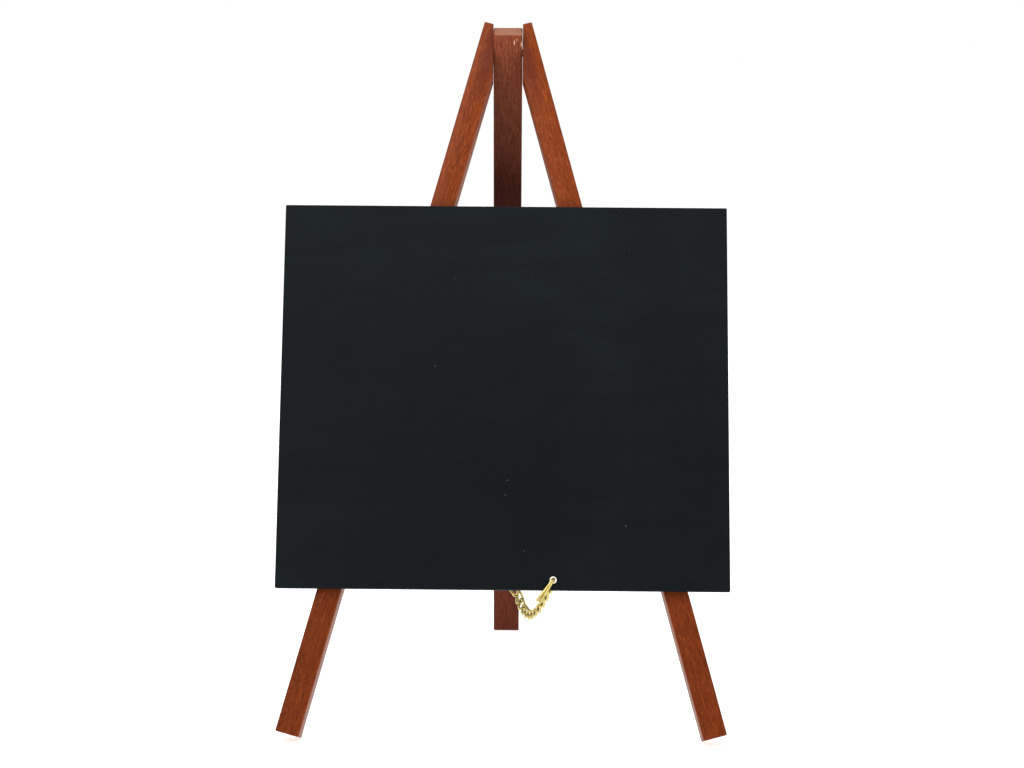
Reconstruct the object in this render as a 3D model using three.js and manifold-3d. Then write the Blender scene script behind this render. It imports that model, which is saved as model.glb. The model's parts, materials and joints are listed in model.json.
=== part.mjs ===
// A small table-top menu chalkboard on a folding three-legged easel.
// Two splayed front legs carry the board, and a rear leg folds between them on a pin at the top.
// A slack brass chain joins the board's lower edge to the rear leg.
// Millimetres, +Z up. The board faces -Y. The origin is on the table, under the middle of the easel.

import * as THREE from "three";
import { ParametricGeometry } from "three/addons/geometries/ParametricGeometry.js";
import { mergeVertices } from "three/addons/utils/BufferGeometryUtils.js";
import Module from "manifold-3d";

const wasm = await Module();
wasm.setup();

const { degToRad } = THREE.MathUtils;

// Stance.
const LEAN = degToRad(18.14); // the front frame leans back by this much
const REAR_SPREAD = degToRad(21.3); // the rear leg stands out behind by this much
const SPLAY = degToRad(15.06); // each front leg slants outwards by this much

// Legs: one stock for all three, turned a quarter turn for the rear one.
const STOCK_NARROW = 8;
const STOCK_WIDE = 10;
const STOCK_EDGE = 0.45; // rounding of the long edges
const FRONT_LEG_BELOW = 243.7; // from the hinge to the foot, along the leg
const FRONT_LEG_ABOVE = 9;
const REAR_LEG_ABOVE = 7.9;
const FRONT_LEG_OFFSET = 6.64; // centre line of a front leg from the middle, at the hinge
const HINGE_SIDE_GAP = 0.12; // between the rear leg and the mitred front legs

// Board.
const BOARD_WIDTH = 150;
const BOARD_HEIGHT = 130.4;
const BOARD_THICKNESS = 3;
const BOARD_TOP = 57.5; // from the hinge down the frame to the board's top edge
const BOARD_CORNER = 0.4;
const BOARD_EDGE = 0.3;
const BOARD_GAP = 0.05; // between the board and the legs

// Hinge pin and the board's screws.
const HINGE_PIN_RADIUS = 1.25;
const HINGE_PIN_LENGTH = 19.4;
const RUNNING_GAP = 0.1;
const SCREW_HEAD_RADIUS = 2.4;
const SCREW_HEAD_HEIGHT = 1.5;
const SCREW_SHANK_RADIUS = 1.1;
const SCREW_LENGTH = 11.9;
const SCREW_GAP = 0.15;
const SCREW_DOWN_FRAME = [76, 170]; // from the hinge down the frame

// Split pin through the board, its washer, and the screw eye in the rear leg.
const PIN_RIGHT = 16.7; // from the middle of the board
const PIN_UP_FROM_EDGE = 3.3;
const PIN_WIRE_RADIUS = 0.3;
const PIN_LEG_SPACING = 0.64;
const PIN_TIP_SPACING = 1.1; // the legs are sprung apart towards their tips
const PIN_LEG_LENGTH = 8.9;
const PIN_LEG_SLANT = degToRad(56.3); // below the horizontal, towards the middle
const PIN_LEG_HEIGHT = 0.9; // centre of the legs above the board's face, at the washer
const PIN_TIP_HEIGHT = 0.45;
const PIN_EYE_RADIUS = 1.55;
const PIN_EYE_CENTRE = 1.8; // behind the board's back
const WASHER_OUTER = 1.2;
const WASHER_INNER = 0.68;
const WASHER_HEIGHT = 0.45;
const EYE_DOWN_LEG = 108;
const EYE_RADIUS = 1.9;
const EYE_WIRE_RADIUS = 0.4;
const EYE_STAND_OFF = 2.9; // centre of the eye from the leg's side
const EYE_SHANK_DEPTH = 6;
const EYE_TILT = degToRad(26); // the eye's plane slants forward of the leg by this much

// Chain.
const LINK_PITCH = 4.95;
const LINK_WIRE_RADIUS = 0.45;
const LINK_WIDTH = 2.8; // across the wire's centre line
const LINK_SLACK = 0.2; // free play between two links
const LINK_TWIST = degToRad(-45); // each end turns by this much, in opposite directions
const FRONT_LINKS = 11;
const REAR_LINKS = 21;
const CHAIN_LENGTH = 157;
const CHAIN_SPLIT_Y = -13; // where the two lengths of chain meet, from the hinge
const CHAIN_SPLIT_X_FRONT = 4.9;
const CHAIN_SPLIT_X_REAR = 3.3;
const CHAIN_BOW = 0.4; // sideways bow of the front length, as a share of its sideways travel
const END_PLAY = 0.2; // between an end link and the wire that holds it
const FRONT_ROLL = [degToRad(6), degToRad(35)]; // about the chain, from the pivot to the split
const REAR_ROLL = [degToRad(-25), degToRad(-110)];

const WOOD = new THREE.MeshStandardMaterial({ color: 0x8a4526, roughness: 0.45, metalness: 0 });
const SLATE_PAINT = new THREE.MeshStandardMaterial({ color: 0x1f2426, roughness: 0.85, metalness: 0 });
const BRASS = new THREE.MeshStandardMaterial({ color: 0xd2b96a, roughness: 0.3, metalness: 1 });
const STEEL = new THREE.MeshStandardMaterial({ color: 0xb4b4b0, roughness: 0.35, metalness: 1 });

// Solids ---------------------------------------------------------------------------------------------

function solidOf(geometry) {
  const bare = geometry.clone();
  bare.deleteAttribute("normal");
  bare.deleteAttribute("uv");
  const merged = mergeVertices(bare, 1e-4);
  const vertProperties = new Float32Array(merged.attributes.position.array);
  const triVerts = new Uint32Array(merged.index.array);
  return new wasm.Manifold(new wasm.Mesh({ numProp: 3, vertProperties, triVerts }));
}

function geometryOf(solid) {
  const made = solid.getMesh();
  const geometry = new THREE.BufferGeometry();
  geometry.setAttribute("position", new THREE.BufferAttribute(made.vertProperties, 3));
  geometry.setIndex(new THREE.BufferAttribute(made.triVerts, 1));
  geometry.computeVertexNormals();
  return geometry;
}

function cut(geometry, tools) {
  const start = solidOf(geometry);
  return geometryOf(tools.reduce((solid, tool) => solid.subtract(solidOf(tool)), start));
}

function part(name, geometry, material) {
  const mesh = new THREE.Mesh(geometry, material);
  mesh.name = name;
  return mesh;
}

function roundedRectangle(width, height, radius) {
  const x = width / 2 - radius;
  const y = height / 2 - radius;
  const shape = new THREE.Shape();
  shape.absarc(x, y, radius, 0, Math.PI / 2);
  shape.absarc(-x, y, radius, Math.PI / 2, Math.PI);
  shape.absarc(-x, -y, radius, Math.PI, 1.5 * Math.PI);
  shape.absarc(x, -y, radius, 1.5 * Math.PI, 2 * Math.PI);
  return shape;
}

// A bar with rounded long edges, along Z, from +above to -below.
function bar(sizeX, sizeY, above, below) {
  const section = roundedRectangle(sizeX, sizeY, STOCK_EDGE);
  const settings = { depth: above + below, bevelEnabled: false, curveSegments: 3 };
  return new THREE.ExtrudeGeometry(section, settings).translate(0, 0, -below);
}

function rodAlongX(radius, length) {
  return new THREE.CylinderGeometry(radius, radius, length, 24).rotateZ(Math.PI / 2);
}

// A wire of round section along an open path.
function wire(points, radius, steps) {
  const section = new THREE.Shape();
  section.absarc(0, 0, radius, 0, 2 * Math.PI);
  const extrudePath = new THREE.CatmullRomCurve3(points, false, "centripetal");
  return new THREE.ExtrudeGeometry(section, { steps, extrudePath, bevelEnabled: false, curveSegments: 8 });
}

// Front frame: the origin is on the hinge axis, Z runs up the frame, -Y is the front -------------------

const BOARD_BACK = -STOCK_WIDE / 2 - BOARD_GAP;
const BOARD_FRONT = BOARD_BACK - BOARD_THICKNESS;

function boardGeometry(holes) {
  const outline = roundedRectangle(BOARD_WIDTH, BOARD_HEIGHT, BOARD_CORNER);
  const settings = {
    depth: BOARD_THICKNESS - 2 * BOARD_EDGE,
    bevelThickness: BOARD_EDGE,
    bevelSize: BOARD_EDGE,
    bevelOffset: -BOARD_EDGE,
    bevelSegments: 2,
    curveSegments: 4,
  };
  const panel = new THREE.ExtrudeGeometry(outline, settings)
    .translate(0, 0, BOARD_EDGE)
    .rotateX(Math.PI / 2)
    .translate(0, BOARD_BACK, -(BOARD_TOP + BOARD_HEIGHT / 2));
  return cut(panel, holes);
}

// A countersunk screw whose head is at the origin and whose point is towards -Y.
function screwGeometry(grow) {
  const shank = SCREW_SHANK_RADIUS + grow;
  const head = SCREW_HEAD_RADIUS + grow;
  const tip = -SCREW_LENGTH - grow;
  const profile = [
    new THREE.Vector2(0, tip),
    new THREE.Vector2(shank * 0.5, tip + 0.6),
    new THREE.Vector2(shank, tip + 2),
    new THREE.Vector2(shank, -SCREW_HEAD_HEIGHT),
    new THREE.Vector2(head, -0.25),
    new THREE.Vector2(head, grow),
    new THREE.Vector2(0, grow),
  ];
  return new THREE.LatheGeometry(profile, 16);
}

function placedOnLeg(geometry, side, down) {
  const right = side * (FRONT_LEG_OFFSET + down * Math.tan(SPLAY));
  return geometry.translate(right, STOCK_WIDE / 2 - 0.2, -down);
}

function frontLegGeometry(side) {
  const leg = bar(STOCK_NARROW, STOCK_WIDE, FRONT_LEG_ABOVE, FRONT_LEG_BELOW)
    .rotateY(-side * SPLAY)
    .translate(side * FRONT_LEG_OFFSET, 0, 0);
  const clearWidth = STOCK_WIDE + 2 * HINGE_SIDE_GAP;
  const mitre = new THREE.BoxGeometry(clearWidth, 2 * STOCK_WIDE, 60);
  const pinHole = rodAlongX(HINGE_PIN_RADIUS + RUNNING_GAP, 4 * STOCK_WIDE);
  const screwHoles = SCREW_DOWN_FRAME.map((down) => {
    const countersink = new THREE.CylinderGeometry(
      SCREW_HEAD_RADIUS + SCREW_GAP,
      SCREW_HEAD_RADIUS + SCREW_GAP,
      1,
      16,
    );
    const hole = solidOf(screwGeometry(SCREW_GAP)).add(solidOf(countersink.translate(0, 0.55, 0)));
    return placedOnLeg(geometryOf(hole), side, down);
  });
  return cut(leg, [mitre, pinHole, ...screwHoles]);
}

// The slotted head faces the back of the leg.
function slottedScrewGeometry() {
  return cut(screwGeometry(0), [new THREE.BoxGeometry(0.6, 0.9, 3 * SCREW_HEAD_RADIUS)]);
}

// One wire: up one leg of the pin, through the board, round the eye and back down the other leg.
function splitPinGeometry() {
  const down = new THREE.Vector3(-Math.cos(PIN_LEG_SLANT), 0, -Math.sin(PIN_LEG_SLANT));
  const aside = new THREE.Vector3(Math.sin(PIN_LEG_SLANT), 0, -Math.cos(PIN_LEG_SLANT));
  const at = (along, across, y) =>
    new THREE.Vector3(0, y, 0).addScaledVector(down, along).addScaledVector(aside, across);
  const half = PIN_LEG_SPACING / 2;
  const tipHalf = PIN_TIP_SPACING / 2;
  const middleHeight = (PIN_TIP_HEIGHT + PIN_LEG_HEIGHT) / 2;
  const leg = (side) => [
    at(PIN_LEG_LENGTH, side * tipHalf, BOARD_FRONT - PIN_TIP_HEIGHT),
    at(PIN_LEG_LENGTH * 0.6, side * (half + tipHalf) * 0.5, BOARD_FRONT - middleHeight),
    at(1.3, side * half, BOARD_FRONT - PIN_LEG_HEIGHT),
    at(0.45, side * half, BOARD_FRONT - PIN_LEG_HEIGHT + 0.03),
    at(0.08, side * half, BOARD_FRONT - PIN_LEG_HEIGHT + 0.32),
    at(0, side * half, BOARD_FRONT + 0.2),
    at(0, side * half, BOARD_BACK - 0.3),
    at(0, side * half, BOARD_BACK + 0.2),
  ];
  const eye = [];
  const opening = 0.32; // angle at which the eye's ring opens into the legs
  for (let i = 0; i <= 8; i += 1) {
    const angle = -Math.PI + opening + (i / 8) * 2 * (Math.PI - opening);
    const across = PIN_EYE_RADIUS * Math.sin(angle);
    eye.push(at(0, across, BOARD_BACK + PIN_EYE_CENTRE + PIN_EYE_RADIUS * Math.cos(angle)));
  }
  const points = [...leg(-1), ...eye, ...leg(1).reverse()];
  const height = PIN_UP_FROM_EDGE - BOARD_TOP - BOARD_HEIGHT;
  return wire(points, PIN_WIRE_RADIUS, 70).translate(PIN_RIGHT, 0, height);
}

function washerGeometry() {
  const middle = (WASHER_OUTER + WASHER_INNER) / 2;
  const profile = [
    new THREE.Vector2(WASHER_INNER, 0),
    new THREE.Vector2(WASHER_OUTER, 0),
    new THREE.Vector2(WASHER_OUTER - 0.05, WASHER_HEIGHT * 0.6),
    new THREE.Vector2(middle, WASHER_HEIGHT),
    new THREE.Vector2(WASHER_INNER + 0.03, WASHER_HEIGHT * 0.7),
    new THREE.Vector2(WASHER_INNER, 0),
  ];
  return new THREE.LatheGeometry(profile, 20).rotateX(Math.PI);
}

function frontFrame() {
  const frame = new THREE.Group();
  frame.rotation.x = -LEAN;
  const pinDown = BOARD_TOP + BOARD_HEIGHT - PIN_UP_FROM_EDGE;
  const pinHole = new THREE.CylinderGeometry(WASHER_INNER, WASHER_INNER, 4 * BOARD_THICKNESS, 16);
  const boardHoles = [pinHole.translate(PIN_RIGHT, -STOCK_WIDE / 2, -pinDown)];
  const screws = [];
  for (const side of [-1, 1]) {
    const name = side < 0 ? "front_leg_left" : "front_leg_right";
    frame.add(part(name, frontLegGeometry(side), WOOD));
    for (const down of SCREW_DOWN_FRAME) {
      boardHoles.push(placedOnLeg(screwGeometry(SCREW_GAP), side, down));
      const screw = placedOnLeg(slottedScrewGeometry(), side, down);
      screws.push(part(`board_screw_${screws.length + 1}`, screw, STEEL));
    }
  }
  frame.add(part("chalkboard_panel", boardGeometry(boardHoles), SLATE_PAINT), ...screws);
  frame.add(part("hinge_pin", rodAlongX(HINGE_PIN_RADIUS, HINGE_PIN_LENGTH), STEEL));
  frame.add(part("chain_split_pin", splitPinGeometry(), BRASS));
  const washer = part("split_pin_washer", washerGeometry(), BRASS);
  washer.position.set(PIN_RIGHT, BOARD_FRONT - 0.03, -pinDown);
  frame.add(washer);
  return frame;
}

// Rear leg: the origin is on the hinge axis and Z runs up the leg ---------------------------------------

function rearLegGeometry(length) {
  const leg = bar(STOCK_WIDE, STOCK_NARROW, REAR_LEG_ABOVE, length);
  const pinHole = rodAlongX(HINGE_PIN_RADIUS + RUNNING_GAP, 2 * STOCK_WIDE);
  const shankHole = rodAlongX(EYE_WIRE_RADIUS + SCREW_GAP, 2 * EYE_SHANK_DEPTH + 0.4);
  return cut(leg, [pinHole, shankHole.translate(STOCK_WIDE / 2, 0, -EYE_DOWN_LEG)]);
}

// The ring lies across the pull of the chain, and its shank runs into the leg.
function screwEyeGeometry() {
  const ring = new THREE.TorusGeometry(EYE_RADIUS, EYE_WIRE_RADIUS, 10, 24);
  const shankLength = EYE_SHANK_DEPTH + EYE_STAND_OFF - EYE_RADIUS;
  const shank = rodAlongX(EYE_WIRE_RADIUS, shankLength).translate(-EYE_RADIUS - shankLength / 2, 0, 0);
  const collar = rodAlongX(EYE_WIRE_RADIUS * 1.7, 0.4).translate(0.5 - EYE_STAND_OFF, 0, 0);
  return geometryOf(solidOf(ring).add(solidOf(shank)).add(solidOf(collar)));
}

function rearFrame(length) {
  const frame = new THREE.Group();
  frame.rotation.x = REAR_SPREAD;
  frame.add(part("rear_leg", rearLegGeometry(length), WOOD));
  const eye = part("rear_screw_eye", screwEyeGeometry(), BRASS);
  eye.position.set(STOCK_WIDE / 2 + EYE_STAND_OFF, 0, -EYE_DOWN_LEG);
  eye.rotation.x = -Math.PI / 2 - EYE_TILT;
  frame.add(eye);
  return frame;
}

// Chain ----------------------------------------------------------------------------------------------

const LINK_LENGTH = LINK_PITCH + 2 * LINK_WIRE_RADIUS + LINK_SLACK; // across the wire's centre line

// A curb link along X: an oval of wire whose two ends are turned out of the middle's plane.
function linkGeometry() {
  const endRadius = LINK_WIDTH / 2;
  const endCentre = LINK_LENGTH / 2 - endRadius;
  const centre = (angle) => {
    const x = endCentre * Math.tanh(4 * Math.cos(angle)) + endRadius * Math.cos(angle);
    const across = endRadius * Math.sin(angle);
    const twist = LINK_TWIST * Math.cos(angle);
    return new THREE.Vector3(x, across * Math.cos(twist), across * Math.sin(twist));
  };
  const surface = (around, section, target) => {
    const angle = around * 2 * Math.PI;
    const twist = LINK_TWIST * Math.cos(angle);
    const tangent = centre(angle + 0.01).sub(centre(angle - 0.01)).normalize();
    const planeNormal = new THREE.Vector3(0, -Math.sin(twist), Math.cos(twist));
    const outward = new THREE.Vector3().crossVectors(tangent, planeNormal).normalize();
    const sideways = new THREE.Vector3().crossVectors(outward, tangent);
    const turn = section * 2 * Math.PI;
    target
      .copy(centre(angle))
      .addScaledVector(outward, LINK_WIRE_RADIUS * Math.cos(turn))
      .addScaledVector(sideways, LINK_WIRE_RADIUS * Math.sin(turn));
  };
  return new ParametricGeometry(surface, 12, 6);
}

// Height over the hinge plane of a chain of the given length that hangs from one point to another.
function hangingHeight(from, to, length) {
  const span = to.y - from.y;
  const rise = to.z - from.z;
  const stretch = Math.sqrt(length ** 2 - rise ** 2) / span;
  let low = 0.001;
  let high = 20;
  for (let i = 0; i < 60; i += 1) {
    const middle = (low + high) / 2;
    if (Math.sinh(middle) / middle < stretch) low = middle;
    else high = middle;
  }
  const scale = span / (low + high);
  const lowest = from.y + span / 2 - scale * Math.atanh(rise / length);
  const height = (y) => scale * Math.cosh((y - lowest) / scale);
  return (y) => from.z + height(y) - height(from.y);
}

// Links from a pivot towards the place where the two lengths of chain meet.
function chainLength({ pivot, splitX, splitY, bow, heightAt, firstStep, roll, count, nameOf }) {
  const points = [];
  const reach = 1.25; // the route runs on past the split, and the links stop where their count ends
  const samples = 80;
  for (let i = 0; i <= samples; i += 1) {
    const share = (reach * i) / samples;
    const y = pivot.y + (splitY - pivot.y) * share;
    const aside = share * (1 + bow * (1 - share));
    points.push(new THREE.Vector3(pivot.x + (splitX - pivot.x) * aside, y, heightAt(y)));
  }
  const route = new THREE.CatmullRomCurve3(points);
  route.arcLengthDivisions = 800;
  const total = route.getLength();
  const geometry = linkGeometry();
  const up = new THREE.Vector3(0, 0, 1);
  const group = new THREE.Group();
  for (let i = 0; i < count; i += 1) {
    const share = (firstStep + i * LINK_PITCH) / total;
    const along = route.getTangentAt(share);
    const aside = new THREE.Vector3().crossVectors(along, up).normalize();
    const across = new THREE.Vector3().crossVectors(aside, along);
    const link = part(nameOf(i), geometry, BRASS);
    link.position.copy(route.getPointAt(share));
    const axes = new THREE.Matrix4().makeBasis(along, across, aside);
    link.quaternion.setFromRotationMatrix(axes);
    link.rotateX(THREE.MathUtils.lerp(roll[0], roll[1], i / (count - 1)));
    group.add(link);
  }
  return group;
}

const twoDigits = (number) => String(number).padStart(2, "0");

function stayChain(front, rear, splitY) {
  const heightAt = hangingHeight(front, rear, CHAIN_LENGTH);
  const firstStep = (wireRadius) => LINK_LENGTH / 2 - LINK_WIRE_RADIUS - wireRadius - END_PLAY;
  const total = FRONT_LINKS + REAR_LINKS;
  const frontLength = chainLength({
    pivot: front,
    splitX: CHAIN_SPLIT_X_FRONT,
    splitY,
    bow: CHAIN_BOW,
    heightAt,
    firstStep: firstStep(PIN_WIRE_RADIUS),
    roll: FRONT_ROLL,
    count: FRONT_LINKS,
    nameOf: (i) => `chain_link_${twoDigits(i + 1)}`,
  });
  const rearLength = chainLength({
    pivot: rear,
    splitX: CHAIN_SPLIT_X_REAR,
    splitY,
    bow: 0,
    heightAt,
    firstStep: firstStep(EYE_WIRE_RADIUS),
    roll: REAR_ROLL,
    count: REAR_LINKS,
    nameOf: (i) => `chain_link_${twoDigits(total - i)}`,
  });
  return [frontLength, rearLength];
}

// Assembly ---------------------------------------------------------------------------------------------

// The feet stand on the lowest corner of each square-cut end.
const frontDown = FRONT_LEG_BELOW * Math.cos(SPLAY) + (STOCK_NARROW / 2) * Math.sin(SPLAY);
const hingeHeight = frontDown * Math.cos(LEAN) + (STOCK_WIDE / 2) * Math.sin(LEAN);
const rearBelow = (hingeHeight - (STOCK_NARROW / 2) * Math.sin(REAR_SPREAD)) / Math.cos(REAR_SPREAD);
const frontReach = frontDown * Math.sin(LEAN) + (STOCK_WIDE / 2) * Math.cos(LEAN);
const rearReach = rearBelow * Math.sin(REAR_SPREAD) + (STOCK_NARROW / 2) * Math.cos(REAR_SPREAD);
const hingeY = (frontReach - rearReach) / 2;

const easel = new THREE.Group();
const hinge = new THREE.Vector3(0, hingeY, hingeHeight);
const front = frontFrame();
const rear = rearFrame(rearBelow);
front.position.copy(hinge);
rear.position.copy(hinge);
easel.add(front, rear);
easel.updateMatrixWorld(true);

const frontPivot = new THREE.Vector3(
  PIN_RIGHT,
  BOARD_BACK + PIN_EYE_CENTRE + PIN_EYE_RADIUS,
  PIN_UP_FROM_EDGE - BOARD_TOP - BOARD_HEIGHT,
).applyMatrix4(front.matrixWorld);
const rearPivot = new THREE.Vector3(
  STOCK_WIDE / 2 + EYE_STAND_OFF,
  -EYE_RADIUS * Math.sin(EYE_TILT),
  -EYE_DOWN_LEG - EYE_RADIUS * Math.cos(EYE_TILT),
).applyMatrix4(rear.matrixWorld);
easel.add(...stayChain(frontPivot, rearPivot, hingeY + CHAIN_SPLIT_Y));
easel.userData.pivots = { hinge, frontPivot, rearPivot };

export default easel;
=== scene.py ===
# Looks of the small menu chalkboard easel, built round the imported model.
# Sizes are millimetres until they are multiplied by MM. Everything handed to Blender is in metres.
import json
import math

import bmesh
import bpy
from mathutils import Matrix, Vector, noise


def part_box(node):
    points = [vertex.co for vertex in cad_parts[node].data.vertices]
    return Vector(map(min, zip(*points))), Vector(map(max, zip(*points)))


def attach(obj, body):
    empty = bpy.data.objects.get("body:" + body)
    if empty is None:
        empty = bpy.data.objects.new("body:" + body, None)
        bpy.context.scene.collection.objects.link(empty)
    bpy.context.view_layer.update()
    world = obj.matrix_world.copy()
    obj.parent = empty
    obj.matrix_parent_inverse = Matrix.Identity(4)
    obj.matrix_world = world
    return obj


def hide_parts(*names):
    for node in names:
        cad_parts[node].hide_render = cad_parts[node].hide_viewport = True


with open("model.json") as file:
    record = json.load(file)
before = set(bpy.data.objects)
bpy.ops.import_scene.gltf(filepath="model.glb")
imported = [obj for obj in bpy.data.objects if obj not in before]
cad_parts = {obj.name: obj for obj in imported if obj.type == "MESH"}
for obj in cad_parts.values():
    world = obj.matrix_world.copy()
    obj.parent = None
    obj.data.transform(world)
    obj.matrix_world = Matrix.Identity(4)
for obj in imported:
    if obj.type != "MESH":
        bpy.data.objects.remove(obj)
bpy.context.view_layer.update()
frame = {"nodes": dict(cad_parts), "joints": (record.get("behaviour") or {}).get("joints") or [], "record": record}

MM = 0.001

# The stance: how far the front frame leans back, the rear leg stands out and each front leg slants.
LEAN = math.radians(18.14)
REAR_SPREAD = math.radians(21.3)
SPLAY = math.radians(15.06)

# Both frames start at the hinge. Z runs up the legs, and Y points away from whoever reads the board.
JOINTS = {joint["name"]: joint for joint in frame["joints"]}
HINGE = Vector(JOINTS["rear_leg_fold"]["pos_m"])
FRONT = Matrix.Translation(HINGE) @ Matrix.Rotation(-LEAN, 4, "X")
REAR = Matrix.Translation(HINGE) @ Matrix.Rotation(REAR_SPREAD, 4, "X")

# Sizes shared with the solids, in millimetres.
STOCK_NARROW = 8.0
STOCK_WIDE = 10.0
FRONT_LEG_BELOW = 243.7
FRONT_LEG_ABOVE = 9.0
REAR_LEG_ABOVE = 7.9
FRONT_LEG_OFFSET = 6.64
MITRE_PLANE = 5.12
BOARD_WIDTH = 150.0
BOARD_HEIGHT = 130.4
BOARD_THICKNESS = 3.0
BOARD_TOP = 57.5
BOARD_BACK = -5.05
PIN_RIGHT = 16.7
PIN_DOWN = 184.6
PIN_WIRE_RADIUS = 0.3
PIN_HOLE_RADIUS = 0.68
HINGE_PIN_RADIUS = 1.25
HINGE_HOLE_RADIUS = 1.35
HINGE_PIN_HALF = 9.7
SCREW_DOWN = (76.0, 170.0)
SCREW_SINK = 0.2
EYE_DOWN = 108.0
EYE_RADIUS = 1.9
EYE_STAND_OFF = 2.9
EYE_TILT = math.radians(26.0)
EYE_WIRE_RADIUS = 0.4
EYE_SHANK_DEPTH = 6.0
EYE_HOLE_RADIUS = 0.55
LINK_PITCH = 4.95
LINK_WIRE_RADIUS = 0.45
LINK_WIDTH = 2.8
LINK_SLACK = 0.2

# The photograph's viewpoint.
CAMERA_FROM_HINGE = (7.9, -776.5, -17.4)
CAMERA_PITCH = math.radians(7.255)
CAMERA_YAW = math.radians(-0.42)
CAMERA_ROLL = math.radians(0.42)
CAMERA_LENS = 77.47
CAMERA_SENSOR = 36.0


def srgb(r, g, b):
    """A linear colour from the usual 0 to 255 display values."""
    def linear(v):
        v /= 255.0
        return v / 12.92 if v <= 0.04045 else ((v + 0.055) / 1.055) ** 2.4
    return (linear(r), linear(g), linear(b), 1.0)


# Camera ------------------------------------------------------------------------------------------

def make_camera():
    """Looks along +Y, turned by the yaw, tipped down by the pitch and rolled about its sight line."""
    flat_ahead = Vector((math.sin(CAMERA_YAW), math.cos(CAMERA_YAW), 0.0))
    ahead = flat_ahead * math.cos(CAMERA_PITCH) - Vector((0.0, 0.0, math.sin(CAMERA_PITCH)))
    level = Vector((math.cos(CAMERA_YAW), -math.sin(CAMERA_YAW), 0.0))
    upright = level.cross(ahead)
    right = level * math.cos(CAMERA_ROLL) + upright * math.sin(CAMERA_ROLL)
    up = upright * math.cos(CAMERA_ROLL) - level * math.sin(CAMERA_ROLL)
    data = bpy.data.cameras.new("camera")
    data.sensor_width = CAMERA_SENSOR
    data.lens = CAMERA_LENS
    data.clip_start = 0.01
    data.clip_end = 100.0
    camera = bpy.data.objects.new("camera", data)
    turn = Matrix((right, up, -ahead)).transposed().to_4x4()
    camera.matrix_world = Matrix.Translation(HINGE + Vector(CAMERA_FROM_HINGE) * MM) @ turn
    bpy.context.scene.collection.objects.link(camera)
    bpy.context.scene.camera = camera


# Node helpers ------------------------------------------------------------------------------------

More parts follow.
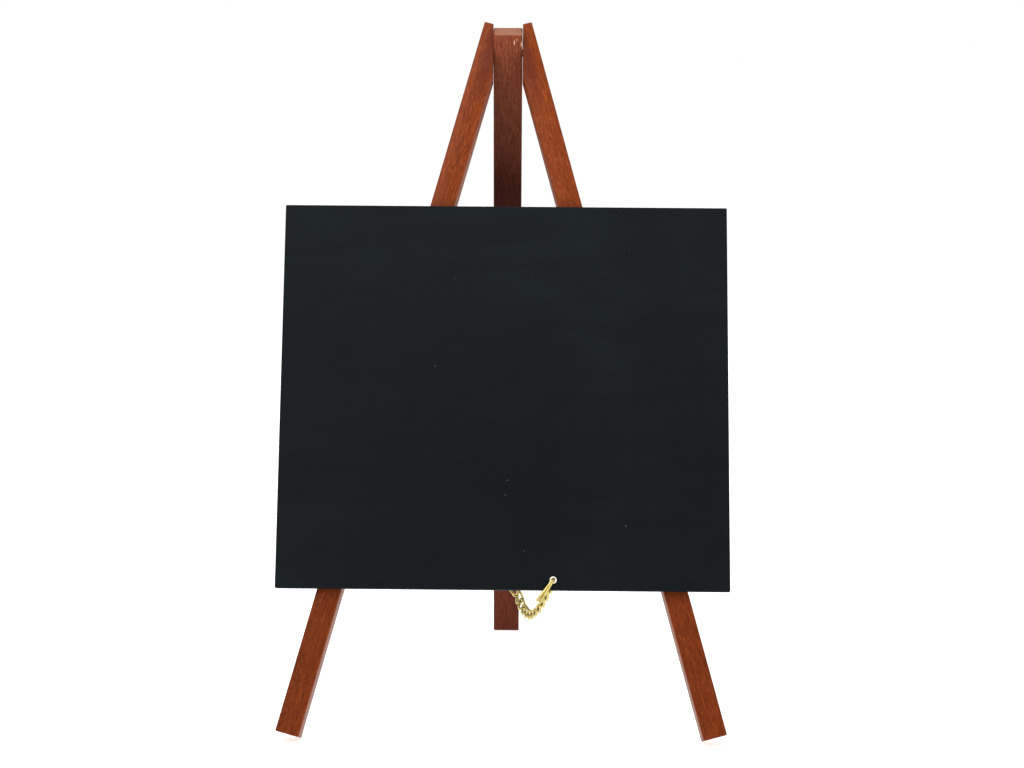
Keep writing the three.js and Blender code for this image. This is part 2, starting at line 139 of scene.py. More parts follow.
class Nodes:
    """Short calls for building one material's node tree."""

    def __init__(self, name):
        self.material = bpy.data.materials.new(name)
        self.material.use_nodes = True
        self.tree = self.material.node_tree
        self.shader = self.tree.nodes["Principled BSDF"]

    def new(self, kind, **values):
        node = self.tree.nodes.new(kind)
        for key, value in values.items():
            setattr(node, key, value)
        return node

    def link(self, source, target):
        self.tree.links.new(source, target)

    def position(self, scale=(1, 1, 1), rotation=(0, 0, 0), offset=(0, 0, 0)):
        """The piece's own coordinates, scaled: they stay with the piece when it moves."""
        place = self.new("ShaderNodeTexCoord").outputs["Object"]
        mapping = self.new("ShaderNodeMapping")
        mapping.inputs["Scale"].default_value = scale
        mapping.inputs["Rotation"].default_value = rotation
        mapping.inputs["Location"].default_value = offset
        self.link(place, mapping.inputs["Vector"])
        return mapping.outputs["Vector"]

    def axis(self, letter):
        """One of the piece's own coordinates, in metres."""
        split = self.new("ShaderNodeSeparateXYZ")
        self.link(self.new("ShaderNodeTexCoord").outputs["Object"], split.inputs[0])
        return split.outputs[letter]

    def spot(self, centre, radii):
        """1 in the middle of an ellipsoid given in millimetres, falling to 0 at its edge."""
        scale = tuple(1 / (r * MM) for r in radii)
        offset = tuple(-c / r for c, r in zip(centre, radii))
        length = self.new("ShaderNodeVectorMath", operation="LENGTH")
        self.link(self.position(scale, offset=offset), length.inputs[0])
        return self.ramp(length.outputs["Value"], (0.3, 1.0), (1.0, 0.0))

    def noise(self, vector, scale, detail=4.0, roughness=0.55, distortion=0.0):
        node = self.new("ShaderNodeTexNoise")
        node.inputs["Scale"].default_value = scale
        node.inputs["Detail"].default_value = detail
        node.inputs["Roughness"].default_value = roughness
        node.inputs["Distortion"].default_value = distortion
        self.link(vector, node.inputs["Vector"])
        return node.outputs["Fac"]

    def ramp(self, value, *stops):
        """Stops are (place, grey or colour)."""
        node = self.new("ShaderNodeValToRGB")
        ramp = node.color_ramp
        for _ in stops[2:]:
            ramp.elements.new(0.5)
        for element, (place, colour) in zip(ramp.elements, stops):
            element.position = place
            element.color = colour if isinstance(colour, tuple) else (colour, colour, colour, 1.0)
        self.link(value, node.inputs["Fac"])
        return node.outputs["Color"]

    def mix(self, mode, factor, first, second):
        """Mixes two colours. Each value is a socket or a constant."""
        node = self.new("ShaderNodeMix", data_type="RGBA", blend_type=mode)
        # A mix node has sockets for every data type: these are the factor and its two colours.
        sockets = [node.inputs[0], node.inputs[6], node.inputs[7]]
        for socket, value in zip(sockets, (factor, first, second)):
            if isinstance(value, bpy.types.NodeSocket):
                self.link(value, socket)
            else:
                socket.default_value = value
        return node.outputs[2]

    def range(self, value, low, high, source_low=0.0, source_high=1.0):
        """Maps source_low to source_high onto low to high, and holds it there beyond them."""
        node = self.new("ShaderNodeMapRange")
        node.inputs["From Min"].default_value = source_low
        node.inputs["From Max"].default_value = source_high
        node.inputs["To Min"].default_value = low
        node.inputs["To Max"].default_value = high
        self.link(value, node.inputs["Value"])
        return node.outputs["Result"]

    def attribute(self, name):
        return self.new("ShaderNodeAttribute", attribute_name=name).outputs["Fac"]

    def bump(self, height, distance, strength=1.0, under=None):
        node = self.new("ShaderNodeBump")
        node.inputs["Distance"].default_value = distance
        node.inputs["Strength"].default_value = strength
        self.link(height, node.inputs["Height"])
        if under is not None:
            self.link(under, node.inputs["Normal"])
        return node.outputs["Normal"]

    def finish(self, colour=None, roughness=None, normal=None, **constants):
        """Links what varies over the surface, and sets what is the same all over it on the shader."""
        if colour is not None:
            self.link(colour, self.shader.inputs["Base Color"])
        if roughness is not None:
            self.link(roughness, self.shader.inputs["Roughness"])
        if normal is not None:
            self.link(normal, self.shader.inputs["Normal"])
        for name, value in constants.items():
            self.shader.inputs[name.replace("_", " ")].default_value = value
        return self.material


# Materials ---------------------------------------------------------------------------------------

def stained_wood(name, dark, mid, light, shift, painted_shade_tones, front_only=False, marks=()):
    """Red-brown stain over close grain, with short dark pores and pale flecks, under thin varnish.

    The shift gives each leg its own grain. The tones are (height along the leg in millimetres, shade), from the
    foot up: painted shade, which front_only keeps to the face towards whoever reads the board. The marks are
    (centre, radii, strength, colour) in millimetres: chipped places, painted shade and painted light."""
    n = Nodes(name)
    offset = (shift, shift * 0.7, shift * 1.9)
    broad = n.noise(n.position((1, 1, 0.03), offset=offset), 420.0, 3.0, 0.5)
    grain = n.noise(n.position((1, 1, 0.09), offset=offset), 2000.0, 4.0, 0.6, 0.2)
    pores = n.noise(n.position((1, 1, 0.13), offset=offset), 3300.0, 2.0, 0.5)
    pale = n.noise(n.position((1, 1, 0.24), offset=(shift, 0.4, 0.9)), 2700.0, 2.0, 0.5)
    colour = n.ramp(grain, (0.28, dark), (0.5, mid), (0.72, light))
    streak = n.ramp(broad, (0.3, (0.88, 0.88, 0.88, 1)), (0.7, (1.08, 1.08, 1.08, 1)))
    colour = n.mix("MULTIPLY", 1.0, colour, streak)
    pore_colour = tuple(v * 0.4 for v in dark[:3]) + (1.0,)
    pore_mask = n.ramp(pores, (0.58, 0.0), (0.70, 1.0))
    colour = n.mix("MIX", n.range(pore_mask, 0.0, 0.6), colour, pore_colour)
    fleck_colour = tuple(min(1.0, v * 1.45 + 0.012) for v in light[:3]) + (1.0,)
    fleck_mask = n.ramp(pale, (0.58, 0.0), (0.72, 1.0))
    colour = n.mix("MIX", n.range(fleck_mask, 0.0, 0.5), colour, fleck_colour)
    # Painted shade: the tones darken the colour along the leg.
    low = painted_shade_tones[0][0]
    high = painted_shade_tones[-1][0]
    height = n.range(n.axis("Z"), 0.0, 1.0, low * MM, high * MM)
    painted_shade_ramp = n.ramp(height, *[((z - low) / (high - low), shade) for z, shade in painted_shade_tones])
    where = n.range(n.axis("Y"), 1.0, 0.0, -3.8 * MM, -3.0 * MM) if front_only else 1.0
    colour = n.mix("MULTIPLY", where, colour, painted_shade_ramp)
    colour = n.mix("MIX", n.range(n.attribute("wear"), 0.0, 0.35), colour, light)
    # Chipped places, painted shade and painted light, one mark at a time.
    for centre, radii, strength, mark in marks:
        colour = n.mix("MIX", n.range(n.spot(centre, radii), 0.0, strength), colour, mark)
    rough = n.range(grain, 0.38, 0.55)
    normal = n.bump(grain, 0.1 * MM, 0.35)
    normal = n.bump(pores, 0.1 * MM, 0.30, normal)
    varnish = {"Coat_Weight": 0.03, "Coat_Roughness": 0.25}
    return n.finish(colour, rough, normal, Specular_IOR_Level=0.07, **varnish)


def end_grain(name, dark, light):
    """Sawn end: pale rings and open pores that took the stain unevenly."""
    n = Nodes(name)
    rings = n.new("ShaderNodeTexWave", wave_type="RINGS", rings_direction="Z")
    rings.inputs["Scale"].default_value = 330.0
    rings.inputs["Distortion"].default_value = 3.0
    rings.inputs["Detail"].default_value = 2.0
    n.link(n.position(offset=(0.011, 0.017, 0.0)), rings.inputs["Vector"])
    pores = n.noise(n.position(), 3200.0, 2.0, 0.6)
    colour = n.mix("MIX", n.range(rings.outputs["Fac"], 0.15, 0.85), dark, light)
    colour = n.mix("MULTIPLY", n.range(pores, 0.0, 0.55, 0.45, 0.75), colour, (0.45, 0.33, 0.26, 1))
    normal = n.bump(pores, 0.1 * MM, 0.5)
    return n.finish(colour, n.range(pores, 0.55, 0.8), normal, Specular_IOR_Level=0.25)


def chalkboard_paint():
    """Matt slate paint: close orange peel, faint wiped haze and a few specks of chalk dust.

    Painted light makes it a little lighter towards the board's top."""
    n = Nodes("chalkboard_paint")
    wiped = n.noise(n.position((1, 1, 1), (0, 0.5, 0)), 14.0, 6.0, 0.6, 0.8)
    strokes = n.noise(n.position((0.35, 1, 1.6), (0, 0.35, 0)), 60.0, 5.0, 0.65, 1.2)
    tooth = n.noise(n.position(), 2600.0, 3.0, 0.6)
    peel = n.noise(n.position(), 620.0, 2.0, 0.5)
    wiped = n.ramp(wiped, (0.35, 0.15), (0.75, 1.0))
    strokes = n.ramp(strokes, (0.3, 0.2), (0.75, 1.0))
    haze = n.mix("MULTIPLY", 1.0, wiped, strokes)
    colour = n.mix("MIX", n.range(haze, 0.0, 0.55), srgb(16, 20, 22), srgb(31, 37, 40))
    dust = n.new("ShaderNodeTexVoronoi", feature="F1")
    dust.inputs["Scale"].default_value = 210.0
    n.link(n.position(), dust.inputs["Vector"])
    speck = n.ramp(dust.outputs["Distance"], (0.030, 1.0), (0.048, 0.0))
    sparse = n.ramp(n.noise(n.position(offset=(0.3, 0.1, 0.2)), 90.0, 2.0), (0.60, 0.0), (0.66, 1.0))
    speck = n.mix("MULTIPLY", 1.0, speck, sparse)
    colour = n.mix("MIX", n.range(speck, 0.0, 0.35), colour, srgb(150, 155, 158))
    # Worn paint and a painted highlight, where the board's top edge carries them.
    colour = n.mix("MIX", n.range(n.attribute("wear"), 0.0, 0.5), colour, srgb(58, 64, 68))
    # Painted light: a little lighter towards the board's top.
    height = n.range(n.axis("Z"), 0.0, 1.0, -(BOARD_TOP + BOARD_HEIGHT) * MM, -BOARD_TOP * MM)
    colour = n.mix("MULTIPLY", 1.0, colour, n.ramp(height, (0.3, 0.8), (1.0, 1.0)))
    rough = n.range(haze, 0.55, 0.78)
    normal = n.bump(peel, 0.06 * MM, 0.35)
    normal = n.bump(tooth, 0.04 * MM, 0.45, normal)
    return n.finish(colour, rough, normal, Specular_IOR_Level=0.04)


def brass(name, dark, bright, roughness, tarnish, metallic=1.0):
    """Bright brass under a patchy dull film, with fine handling scratches."""
    n = Nodes(name)
    film = n.noise(n.position(), 380.0, 4.0, 0.6, 0.5)
    fine = n.noise(n.position((1, 1, 0.2), (0.4, 0.2, 0.9)), 4200.0, 3.0, 0.7)
    colour = n.mix("MIX", n.ramp(film, (0.35, 0.0), (0.65, 1.0)), dark, bright)
    colour = n.mix("MULTIPLY", n.range(fine, 0.0, tarnish, 0.45, 0.8), colour, (0.58, 0.52, 0.26, 1))
    rough = n.range(film, roughness + 0.14, roughness)
    return n.finish(colour, rough, n.bump(fine, 0.03 * MM, 0.35), Metallic=metallic)


def zinc_steel():
    """Zinc-plated steel, slightly cloudy."""
    n = Nodes("zinc_plate")
    film = n.noise(n.position(), 700.0, 4.0, 0.6)
    colour = n.mix("MIX", film, srgb(150, 150, 146), srgb(205, 204, 198))
    return n.finish(colour, n.range(film, 0.28, 0.48), n.bump(film, 0.03 * MM, 0.3), Metallic=1.0)


# Mesh helpers ------------------------------------------------------------------------------------

def object_from(bm, name, materials, matrix=Matrix.Identity(4), smooth=True):
    """Makes an object of the mesh in bm, and frees bm."""
    bmesh.ops.recalc_face_normals(bm, faces=bm.faces)
    mesh = bpy.data.meshes.new(name)
    bm.to_mesh(mesh)
    bm.free()
    for material in materials:
        mesh.materials.append(material)
    if smooth:
        mesh.shade_smooth()
    made = bpy.data.objects.new(name, mesh)
    made.matrix_world = matrix
    bpy.context.scene.collection.objects.link(made)
    return made


def apply_modifiers(piece):
    """Puts the modifiers' result into the piece's own mesh."""
    bpy.context.view_layer.update()
    shown = piece.evaluated_get(bpy.context.evaluated_depsgraph_get())
    mesh = bpy.data.meshes.new_from_object(shown)
    piece.modifiers.clear()
    old = piece.data
    piece.data = mesh
    mesh.name = piece.name
    bpy.data.meshes.remove(old)


def carve(piece, cutters):
    """Takes the cutters out of the piece. Each cutter is an object in the piece's own place."""
    for cutter in cutters:
        modifier = piece.modifiers.new("carve", "BOOLEAN")
        modifier.object = cutter
        modifier.operation = "DIFFERENCE"
        modifier.solver = "EXACT"
    apply_modifiers(piece)
    for cutter in cutters:
        bpy.data.objects.remove(cutter)


def sharp_by_angle(piece, degrees=35.0):
    """Smooth shading that breaks at edges sharper than the angle."""
    piece.data.shade_smooth()
    bm = bmesh.new()
    bm.from_mesh(piece.data)
    for edge in bm.edges:
        edge.smooth = len(edge.link_faces) == 2 and edge.calc_face_angle(0.0) < math.radians(degrees)
    bm.to_mesh(piece.data)
    bm.free()


def rounded_section(width, height, radius, steps):
    """Points round a rectangle with rounded corners, and how near each is to its corner's middle."""
    points = []
    for corner, (sx, sy) in enumerate(((1, 1), (-1, 1), (-1, -1), (1, -1))):
        for i in range(steps + 1):
            angle = math.pi / 2 * (corner + i / steps)
            x = sx * (width / 2 - radius) + radius * math.cos(angle)
            y = sy * (height / 2 - radius) + radius * math.sin(angle)
            points.append((x, y, math.sin(math.pi * (i + 0.5) / (steps + 1))))
    return points


def bridge(bm, low, high):
    """Joins two rings, which have the same number of vertices, by a band of faces."""
    for i in range(len(low)):
        j = (i + 1) % len(low)
        bm.faces.new((low[i], low[j], high[j], high[i]))


def lathe(profile, name, materials, matrix=Matrix.Identity(4), segments=40):
    """Turns (radius, height) pairs about Z. A radius of 0 closes an end."""
    bm = bmesh.new()
    rings = []
    for radius, height in profile:
        if radius == 0:
            rings.append([bm.verts.new((0, 0, height * MM))])
            continue
        ring = []
        for i in range(segments):
            angle = 2 * math.pi * i / segments
            x = radius * MM * math.cos(angle)
            y = radius * MM * math.sin(angle)
            ring.append(bm.verts.new((x, y, height * MM)))
        rings.append(ring)
    for low, high in zip(rings, rings[1:]):
        for i in range(segments):
            j = (i + 1) % segments
            corners = [low[i % len(low)], low[j % len(low)], high[j % len(high)], high[i % len(high)]]
            # At a closed end two corners are the same vertex, which is kept once.
            bm.faces.new(list(dict.fromkeys(corners)))
    return object_from(bm, name, materials, matrix)


def sweep(path, section, closed, name, materials, matrix=Matrix.Identity(4), taper=0, growth=None):
    """A tube along a path of points in metres, whose section is a list of (x, y) in metres.

    The taper is how many points at each end narrow, and the growth gives the section's size from a
    point's place."""
    bm = bmesh.new()
    count = len(path)
    rings = []
    side = None
    for i, point in enumerate(path):
        after = path[(i + 1) % count] if closed else path[min(i + 1, count - 1)]
        before = path[(i - 1) % count] if closed else path[max(i - 1, 0)]
        along = (after - before).normalized()
        if side is None:
            side = along.orthogonal().normalized()
        side = (side - along * side.dot(along)).normalized()
        other = along.cross(side)
        from_end = min(i, count - 1 - i)
        size = growth(point) if growth else 1.0
        if taper and not closed and from_end < taper:
            size *= math.sin(math.pi / 2 * (0.25 + 0.75 * from_end / taper))
        rings.append([bm.verts.new(point + (side * x + other * y) * size) for x, y in section])
    for low, high in zip(rings, rings[1:]):
        bridge(bm, low, high)
    if closed:
        bridge(bm, rings[-1], rings[0])
    else:
        bm.faces.new(list(reversed(rings[0])))
        bm.faces.new(rings[-1])
    return object_from(bm, name, materials, matrix)


def circle(radius, count):
    """A round section for sweep."""
    angles = [2 * math.pi * i / count for i in range(count)]
    return [(radius * math.cos(angle), radius * math.sin(angle)) for angle in angles]


def smooth_path(points, count):
    """Evenly spaced points on a Catmull-Rom curve through the given ones."""
    dense = []
    steps = 24
    last = len(points) - 1
    for i in range(last):
        p0 = points[max(i - 1, 0)]
        p1 = points[i]
        p2 = points[i + 1]
        p3 = points[min(i + 2, last)]
        squared = 2 * p0 - 5 * p1 + 4 * p2 - p3
        cubed = 3 * p1 - p0 - 3 * p2 + p3
        for k in range(steps):
            t = k / steps
            dense.append(0.5 * (2 * p1 + (p2 - p0) * t + squared * t * t + cubed * t ** 3))
    dense.append(points[-1])
    lengths = [0.0]
    for a, b in zip(dense, dense[1:]):
        lengths.append(lengths[-1] + (b - a).length)
    spaced = []
    k = 0
    for i in range(count):
        target = lengths[-1] * i / (count - 1)
        while k < len(lengths) - 2 and lengths[k + 1] < target:
            k += 1
        share = (target - lengths[k]) / max(lengths[k + 1] - lengths[k], 1e-12)
        spaced.append(dense[k].lerp(dense[k + 1], share))
    return spaced


# Legs --------------------------------------------------------------------------------------------

def leg(name, width, depth, above, below, matrix, materials, mitre=None, holes=()):
    """A sanded bar along its own Z, with small dents on its long edges and eased ends.

    The mitre is a plane's point and outward normal, and the holes are cutters."""
    ease = 0.3
    edge_radius = 0.45
    edge_steps = 4
    row_spacing = 2.5
    section = rounded_section(width, depth, edge_radius, edge_steps)
    heights = [above, above - ease * 0.35, above - ease]
    count = round((above + below) / row_spacing)
    heights += [above - ease - (above + below - 2 * ease) * i / count for i in range(1, count)]
    heights += [-below + ease, -below + ease * 0.35, -below]
    insets = {0: ease, 1: ease * 0.3, len(heights) - 2: ease * 0.3, len(heights) - 1: ease}
    bm = bmesh.new()
    wear = bm.verts.layers.float.new("wear")
    seed = Vector((len(name) * 1.7, width, above))
    rings = []
    for row, z in enumerate(heights):
        inset = insets.get(row, 0.0)
        narrower = 1.0 - inset / (width / 2)
        thinner = 1.0 - inset / (depth / 2)
        end_wear = 0.5 if inset else 0.0
        ring = []
        for x, y, corner in section:
            rub = noise.noise(Vector((x * 0.3, y * 0.3, z * 0.09)) + seed)
            nick = max(0.0, noise.noise(Vector((x, y, z * 0.35)) + seed * 2) - 0.32) * 0.5
            dent = corner * nick * 0.35
            dented_x = x * narrower - math.copysign(dent, x)
            dented_y = y * thinner - math.copysign(dent, y)
            vert = bm.verts.new(Vector((dented_x, dented_y, z)) * MM)
            edge_wear = max(0.0, corner * (0.25 + 0.9 * rub + 2.0 * nick))
            vert[wear] = min(1.0, edge_wear + end_wear)
            ring.append(vert)
        rings.append(ring)
    for low, high in zip(rings, rings[1:]):
        bridge(bm, low, high)
    ends = [bm.faces.new(rings[0]), bm.faces.new(list(reversed(rings[-1])))]
    for face in ends:
        face.material_index = 1
    if mitre is not None:
        point, normal = mitre
        geometry = bm.verts[:] + bm.edges[:] + bm.faces[:]
        bmesh.ops.bisect_plane(bm, geom=geometry, plane_co=point, plane_no=normal, clear_outer=True)
        open_edges = [edge for edge in bm.edges if edge.is_boundary]
        bmesh.ops.holes_fill(bm, edges=open_edges, sides=0)
    piece = object_from(bm, name, materials, matrix)
    if holes:
        carve(piece, holes)
    sharp_by_angle(piece)
    return piece


def cutter(profile, matrix):
    """A turned shape to take out of a piece."""
    return lathe(profile, "cutter", [], matrix, 32)


def straight_bore(radius, start, end):
    """A plain round hole's profile."""
    return [(0, start), (radius, start), (radius, end), (0, end)]


def along_x(x, y, z):
    """Turns Z to +X, at a place in millimetres."""
    return Matrix.Translation(Vector((x, y, z)) * MM) @ Matrix.Rotation(math.pi / 2, 4, "Y")


def screw_place(side, down):
    """A screw's head faces the back of its leg: Z of the screw is the frame's +Y."""
    x = side * (FRONT_LEG_OFFSET + down * math.tan(SPLAY))
    place = Vector((x, STOCK_WIDE / 2 - SCREW_SINK, -down)) * MM
    return Matrix.Translation(place) @ Matrix.Rotation(-math.pi / 2, 4, "X")


def build_legs(front_woods, rear_wood, ends):
    """The three legs, with the hinge's bore, the countersunk screw holes and the screw eye's hole."""
    bore = straight_bore(HINGE_HOLE_RADIUS, -30, 30)
    sink = [(0, -12.2), (1.25, -12.2), (1.25, -1.55), (2.6, -0.2), (2.6, 1.2), (0, 1.2)]
    for side, word, wood in ((-1, "left", front_woods[0]), (1, "right", front_woods[1])):
        slant = Matrix.Rotation(-side * SPLAY, 4, "Y")
        matrix = FRONT @ Matrix.Translation(Vector((side * FRONT_LEG_OFFSET, 0, 0)) * MM) @ slant
        inside = matrix.inverted() @ FRONT
        mitre_point = inside @ Vector((side * MITRE_PLANE * MM, 0, 0))
        mitre_normal = inside.to_3x3() @ Vector((-side, 0, 0))
        holes = [cutter(bore, FRONT @ along_x(0, 0, 0))]
        for down in SCREW_DOWN:
            holes.append(cutter(sink, FRONT @ screw_place(side, down)))
        piece = leg("leg_" + word, STOCK_NARROW, STOCK_WIDE, FRONT_LEG_ABOVE, FRONT_LEG_BELOW,
                    matrix, [wood, ends], (mitre_point, mitre_normal), holes)
        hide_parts("front_leg_" + word)
        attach(piece, "front_frame")
    rear_below = (HINGE.z / MM - STOCK_NARROW / 2 * math.sin(REAR_SPREAD)) / math.cos(REAR_SPREAD)
    shank = straight_bore(EYE_HOLE_RADIUS, -EYE_SHANK_DEPTH - 0.4, 3)
    holes = [cutter(bore, REAR @ along_x(0, 0, 0))]
    holes.append(cutter(shank, REAR @ along_x(STOCK_WIDE / 2, 0, -EYE_DOWN)))
    piece = leg("leg_rear", STOCK_WIDE, STOCK_NARROW, REAR_LEG_ABOVE, rear_below,
                REAR, [rear_wood, ends], None, holes)
    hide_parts("rear_leg")
    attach(piece, "rear_frame")


# Board -------------------------------------------------------------------------------------------

def build_board(paint):
    """The board's outline is drawn in the frame's XZ plane and its eased edge is turned in steps.

    Only the long top edge is marked: a little wear and a painted highlight."""
    ease = 0.3
    corner_radius = 0.4
    turns = 4
    layers = [(BOARD_BACK, ease)]
    for i in range(1, turns + 1):
        angle = math.pi / 2 * i / turns
        layers.append((BOARD_BACK - ease * (1 - math.cos(angle)), ease * (1 - math.sin(angle))))
    layers += [(2 * BOARD_BACK - BOARD_THICKNESS - y, inset) for y, inset in reversed(layers)]
    bm = bmesh.new()
    wear = bm.verts.layers.float.new("wear")
    middle = -(BOARD_TOP + BOARD_HEIGHT / 2)
    outline = rounded_section(BOARD_WIDTH, BOARD_HEIGHT, corner_radius, 5)
    rings = []
    for y, inset in layers:
        narrower = 1 - inset / (BOARD_WIDTH / 2)
        shorter = 1 - inset / (BOARD_HEIGHT / 2)
        on_edge = 0 < inset < ease * 0.99
        ring = []
        for x, z, _ in outline:
            vert = bm.verts.new(Vector((x * narrower, y, middle + z * shorter)) * MM)
            # Wear and a painted highlight, on the long top edge only.
            vert[wear] = 0.3 if on_edge and z > BOARD_HEIGHT / 2 - corner_radius else 0.0
            ring.append(vert)
        rings.append(ring)
    for low, high in zip(rings, rings[1:]):
        bridge(bm, low, high)
    bm.faces.new(rings[0])
    bm.faces.new(rings[-1])
    piece = object_from(bm, "board", [paint], FRONT)
    hole = straight_bore(PIN_HOLE_RADIUS, -12, 12)
    place = Matrix.Translation(Vector((PIN_RIGHT, BOARD_BACK, -PIN_DOWN)) * MM)
    place = place @ Matrix.Rotation(math.pi / 2, 4, "X")
    carve(piece, [cutter(hole, FRONT @ place)])
    sharp_by_angle(piece)
    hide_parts("chalkboard_panel")
    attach(piece, "front_frame")


# Small metal parts -------------------------------------------------------------------------------

def build_fixings(steel):
    """The board's four crosshead screws and the hinge's plain pin."""
    cross = Vector((0.55, 2.6, 1.5)) * MM
    cross_turn = 0.4
    head = [(0, -11.9), (0.5, -11.3), (1.0, -10.0), (1.1, -9.6), (1.1, -1.5), (2.1, -0.5), (2.36, -0.28),
            (2.4, -0.18), (2.36, -0.05), (2.2, 0.0), (0, 0.0)]
    number = 0
    for side in (-1, 1):
        for down in SCREW_DOWN:
            number += 1
            place = FRONT @ screw_place(side, down)
            piece = lathe(head, f"screw_{number}", [steel], place)
            blades = []
            for turn in (cross_turn, cross_turn + math.pi / 2):
                blade = bmesh.new()
                bmesh.ops.create_cube(blade, size=1.0)
                bmesh.ops.scale(blade, vec=cross, verts=blade.verts)
                spin = Matrix.Rotation(turn + number, 4, "Z")
                blades.append(object_from(blade, "cutter", [], place @ spin, False))
            carve(piece, blades)
            bevel = piece.modifiers.new("bevel", "BEVEL")
            bevel.width = 0.05 * MM
            bevel.limit_method = "ANGLE"
            bevel.angle_limit = math.radians(50)
            apply_modifiers(piece)
            sharp_by_angle(piece, 40)
            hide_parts(f"board_screw_{number}")
            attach(piece, "front_frame")
    half = HINGE_PIN_HALF
    radius = HINGE_PIN_RADIUS
    ease = 0.25
    profile = [(0, -half), (radius - ease, -half), (radius, -half + ease)]
    profile += [(radius, half - ease), (radius - ease, half), (0, half)]
    piece = lathe(profile, "pin_hinge", [steel], FRONT @ along_x(0, 0, 0))
    sharp_by_angle(piece, 30)
    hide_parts("hinge_pin")
    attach(piece, "front_frame")


def build_split_pin(metal, plated_and_highlight):
    """One wire: from a leg's tip on the board's face, through the board, round the eye and back.

    The small plated eyelet lies under the legs. Its near-white colour is partly the plating's own and partly a
    painted highlight."""
    front = BOARD_BACK - BOARD_THICKNESS
    back = BOARD_BACK
    slant = math.radians(56.3)
    leg_length = 8.9
    half = 0.32
    tip_half = 0.55
    eye_radius = 1.55
    eye_centre = 1.8
    eye_opening = 0.32
    eye_steps = 16
    down = Vector((-math.cos(slant), 0, -math.sin(slant)))
    aside = Vector((math.sin(slant), 0, -math.cos(slant)))
    place = FRONT @ Matrix.Translation(Vector((PIN_RIGHT, 0, -PIN_DOWN)) * MM)

    def at(along, across, y):
        """A place given along the legs, across them and through the board."""
        return (down * along + aside * across + Vector((0, y, 0))) * MM

    def strand(side):
        """A leg from its tip, and its way through the board."""
        across = side * half
        return [
            at(leg_length, side * tip_half, front - 0.45),
            at(leg_length * 0.6, side * (half + tip_half) * 0.5, front - 0.675),
            at(1.3, across, front - 0.9),
            at(0.45, across, front - 0.87),
            at(0.08, across, front - 0.58),
            at(0, across, front + 0.2),
            at(0, across, back - 0.3),
            at(0, across, back + 0.2),
        ]

    def flattened(point):
        """The legs are pressed wider once they are clear of the eyelet, and widest at their tips."""
        along = point.dot(down) / MM
        pressed = min(1.0, max(0.0, (along - 0.8) / 3.0))
        towards_tip = max(0.0, (along - 3.8) / 5.1)
        return 1.0 + 0.4 * pressed + 0.3 * towards_tip

    eye = []
    for i in range(eye_steps + 1):
        angle = -math.pi + eye_opening + i / eye_steps * 2 * (math.pi - eye_opening)
        behind = back + eye_centre + eye_radius * math.cos(angle)
        eye.append(at(0, eye_radius * math.sin(angle), behind))
    path = smooth_path(strand(-1) + eye + strand(1)[::-1], 260)
    wire = circle(PIN_WIRE_RADIUS * MM, 14)
    piece = sweep(path, wire, False, "split_pin", [metal], place, taper=3, growth=flattened)
    sharp_by_angle(piece, 50)
    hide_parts("chain_split_pin")
    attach(piece, "front_frame")
    profile = [(0.68, 0.0), (1.16, 0.0), (1.2, 0.08), (1.19, 0.2), (1.13, 0.33), (1.04, 0.42),
               (0.95, 0.45), (0.85, 0.43), (0.76, 0.36), (0.7, 0.24), (0.68, 0.1), (0.68, 0.0)]
    turn = Matrix.Translation(Vector((0, front - 0.03, 0)) * MM) @ Matrix.Rotation(math.pi / 2, 4, "X")
    piece = lathe(profile, "eyelet", [plated_and_highlight], place @ turn, 48)
    # The profile ends where it starts, so its first and last rings are joined.
    bm = bmesh.new()
    bm.from_mesh(piece.data)
    bmesh.ops.remove_doubles(bm, verts=bm.verts, dist=1e-7)
    bm.to_mesh(piece.data)
    bm.free()
    sharp_by_angle(piece, 50)
    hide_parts("split_pin_washer")
    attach(piece, "front_frame")


def build_screw_eye(metal):
    """A wire bent into a ring, whose straight end is screwed into the leg."""
    place = REAR @ Matrix.Translation(Vector((STOCK_WIDE / 2 + EYE_STAND_OFF, 0, -EYE_DOWN)) * MM)
    place = place @ Matrix.Rotation(-math.pi / 2 - EYE_TILT, 4, "X")
    shank_end = -EYE_SHANK_DEPTH - EYE_STAND_OFF
    ring_start = math.pi + 0.22
    ring_turn = 2 * math.pi - 0.42
    ring_steps = 40
    points = [Vector((x, 0, 0)) * MM for x in (shank_end, -5.5, -4.0, -3.0, -2.55)]
    for i in range(ring_steps + 1):
        angle = ring_start + ring_turn * i / ring_steps
        points.append(Vector((math.cos(angle), math.sin(angle), 0)) * EYE_RADIUS * MM)
    wire = circle(EYE_WIRE_RADIUS * MM, 16)
    piece = sweep(smooth_path(points, 150), wire, False, "screw_eye", [metal], place, taper=3)
    sharp_by_angle(piece, 50)
    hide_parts("rear_screw_eye")
    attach(piece, "rear_frame")


# Chain -------------------------------------------------------------------------------------------

def link_mesh(metal):
    """One curb link: a rounded oval of wire with its two ends turned 45 degrees opposite ways."""
    steps = 56
    length = LINK_PITCH + 2 * LINK_WIRE_RADIUS + LINK_SLACK
    end_radius = LINK_WIDTH / 2
    end_centre = length / 2 - end_radius
    path = []
    for i in range(steps):
        angle = 2 * math.pi * i / steps
        x = end_centre * math.tanh(4 * math.cos(angle)) + end_radius * math.cos(angle)
        across = end_radius * math.sin(angle)
        twist = math.radians(-45) * math.cos(angle)
        path.append(Vector((x, across * math.cos(twist), across * math.sin(twist))) * MM)
    made = sweep(path, circle(LINK_WIRE_RADIUS * MM, 14), True, "link", [metal])
    mesh = made.data
    bpy.data.objects.remove(made)
    return mesh


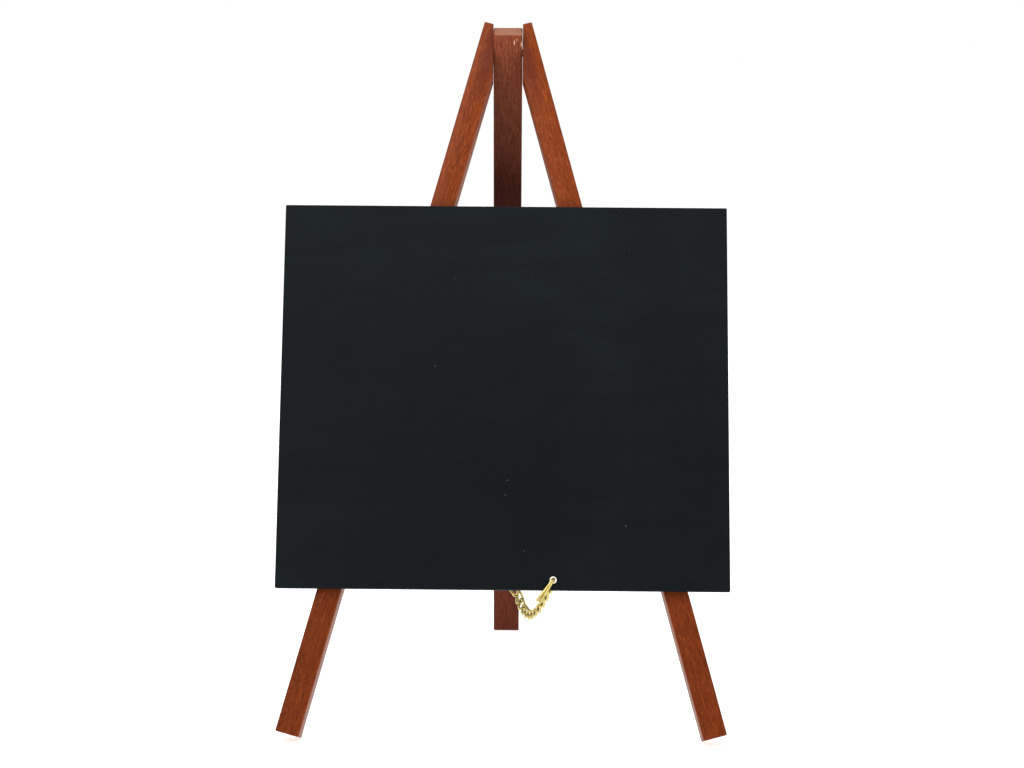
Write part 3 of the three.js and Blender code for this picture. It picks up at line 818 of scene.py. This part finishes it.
def node_axes(name):
    """Where a link lies: its middle, and its own axes from longest to shortest.

    Multiplying any direction by the spread of the link's points, again and again, turns it to the
    longest axis, and then to the next when each known axis is taken out."""
    low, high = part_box(name)
    middle = (low + high) / 2
    points = [v.co - middle for v in frame["nodes"][name].data.vertices]
    spread = Matrix([[sum(p[i] * p[j] for p in points) for j in range(3)] for i in range(3)])
    rounds = 200
    axes = []
    for _ in range(2):
        axis = Vector((0.3, 0.7, 0.5))
        for _ in range(rounds):
            axis = spread @ axis
            for known in axes:
                axis -= known * axis.dot(known)
            axis.normalize()
        axes.append(axis)
    axes.append(axes[0].cross(axes[1]))
    turn = Matrix(axes).transposed().to_4x4()
    return Matrix.Translation(middle) @ turn


def build_chain(metal):
    """Every link shares one mesh and lies where its solid lies."""
    mesh = link_mesh(metal)
    for body in ("chain_front", "chain_rear"):
        for name in frame["record"]["behaviour"]["bodies"][body]:
            piece = bpy.data.objects.new(name.replace("chain_", ""), mesh)
            bpy.context.scene.collection.objects.link(piece)
            piece.matrix_world = node_axes(name)
            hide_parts(name)
            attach(piece, body)


# Studio ------------------------------------------------------------------------------------------

# In metres: where the lamps point.
LIT_PLACE = (0, 0, 0.1)


def area_light(name, place, size, power):
    """A square white lamp that faces the easel. Its place and size are in metres."""
    data = bpy.data.lights.new(name, "AREA")
    data.shape = "SQUARE"
    data.size = size
    data.energy = power
    lamp = bpy.data.objects.new(name, data)
    lamp.location = place
    lamp.rotation_euler = (Vector(LIT_PLACE) - Vector(place)).to_track_quat("-Z", "Y").to_euler()
    bpy.context.scene.collection.objects.link(lamp)


def build_studio():
    """A white floor, a sky that is white at the horizon and grey above it, and three soft lamps."""
    bm = bmesh.new()
    bmesh.ops.create_grid(bm, x_segments=1, y_segments=1, size=30.0)
    n = Nodes("pale_floor")
    shade = n.noise(n.position(), 3.0, 2.0)
    colour = n.mix("MIX", shade, (0.93, 0.93, 0.93, 1), (0.95, 0.95, 0.95, 1))
    white = n.finish(colour, Roughness=0.9, Specular_IOR_Level=0.0)
    n.shader.inputs["Emission Color"].default_value = (1, 1, 1, 1)
    n.shader.inputs["Emission Strength"].default_value = 0.62
    floor = object_from(bm, "floor", [white], Matrix.Identity(4), False)
    world = bpy.data.worlds.new("studio")
    bpy.context.scene.world = world
    world.use_nodes = True
    tree = world.node_tree
    back = tree.nodes["Background"]
    where = tree.nodes.new("ShaderNodeTexCoord")
    split = tree.nodes.new("ShaderNodeSeparateXYZ")
    ramp = tree.nodes.new("ShaderNodeValToRGB")
    tree.links.new(where.outputs["Generated"], split.inputs[0])
    tree.links.new(split.outputs["Z"], ramp.inputs["Fac"])
    stops = ramp.color_ramp.elements
    stops[0].position = 0.10
    stops[0].color = (1.0, 1.0, 1.0, 1)
    stops[1].position = 0.22
    stops[1].color = (0.42, 0.42, 0.42, 1)
    tree.links.new(ramp.outputs["Color"], back.inputs["Color"])
    back.inputs["Strength"].default_value = 1.0
    area_light("key", (-0.55, -0.95, 1.25), 0.9, 16.0)
    area_light("fill", (1.1, -0.7, 0.7), 0.8, 5.0)
    area_light("top", (0.1, 0.5, 1.5), 0.9, 9.0)
    bpy.context.scene.view_settings.view_transform = "Standard"


# The easel's own woods ---------------------------------------------------------------------------

def front_leg_woods():
    """Left, then right. Painted shade darkens the feet and the heads at the mitre, and painted light pales the
    inner sides.
    """
    shades = (srgb(92, 37, 11), srgb(117, 50, 15), srgb(140, 66, 24))
    # Painted shade: darker towards the feet and lighter towards the top, where the light from above falls.
    painted_shade_tones = [
        (-245, (0.68, 0.62, 0.45, 1)),
        (-170, (0.70, 0.64, 0.50, 1)),
        (-60, (0.94, 0.93, 0.93, 1)),
        (9, (1.0, 1.0, 1.0, 1)),
    ]
    # The colour of the painted shade in the corner at the mitre.
    mitre_shade_colour = srgb(84, 32, 20)
    # The colour of the painted light on the inner sides.
    pale = srgb(205, 160, 140)
    legs = ((-1, "left", 0.0, -120, 600), (1, "right", 0.57, -210, 220))
    woods = []
    for side, word, shift, painted_light_middle, painted_light_reach in legs:
        # Painted shade in the corner at the mitre, next to the rear leg.
        mitre_painted_shade = ((-side * 1.2, -5, -3), (4.0, 4, 21), 0.7, mitre_shade_colour)
        # Painted light on the inner side, where the lamps and the white surroundings light it at a grazing angle.
        inner_side_painted_light = ((-side * 4.4, 0, painted_light_middle), (0.7, 60, painted_light_reach), 0.28, pale)
        marks = [mitre_painted_shade, inner_side_painted_light]
        woods.append(stained_wood("wood_" + word, *shades, shift, painted_shade_tones, marks=marks))
    return woods


def rear_leg_wood():
    """Its front face carries painted shade, darkest near the board's top edge where the board keeps light off it,
    and it is chipped at its top right corner.
    """
    shades = (srgb(90, 38, 20), srgb(114, 54, 31), srgb(134, 70, 43))
    # Painted shade: bluish, darkest near the board's top edge, lighter above it and towards the foot.
    painted_shade_tones = [
        (-242, (0.56, 0.44, 0.50, 1)),
        (-160, (0.56, 0.44, 0.50, 1)),
        (-70, (0.23, 0.22, 0.34, 1)),
        (-50, (0.25, 0.24, 0.36, 1)),
        (-28, (0.58, 0.66, 0.80, 1)),
        (-5, (0.86, 0.86, 0.86, 1)),
        (8, (0.94, 0.94, 0.94, 1)),
    ]
    chip = srgb(206, 160, 122)
    chips = [
        ((2.2, -4, 5.2), (0.32, 1, 1.2), 0.9, chip),
        ((3.0, -4, 6.3), (0.30, 1, 0.5), 0.8, chip),
        ((4.65, -4, 4.6), (0.32, 1, 1.3), 0.85, chip),
    ]
    return stained_wood("wood_rear", *shades, 0.31, painted_shade_tones, front_only=True, marks=chips)


make_camera()
front_woods = front_leg_woods()
rear_wood = rear_leg_wood()
sawn = end_grain("wood_end", srgb(126, 76, 48), srgb(164, 110, 80))
gold = brass("brass_bright", srgb(182, 160, 74), srgb(216, 204, 143), 0.22, 0.7)
# The eyelet's plate: near-white and only partly metallic, the plating's colour with a painted highlight.
plate_and_highlight = brass("brass_plate", srgb(248, 240, 220), srgb(255, 253, 246), 0.40, 0.05, 0.6)
build_legs(front_woods, rear_wood, sawn)
build_board(chalkboard_paint())
build_fixings(zinc_steel())
build_split_pin(gold, plate_and_highlight)
build_screw_eye(gold)
build_chain(gold)
build_studio()
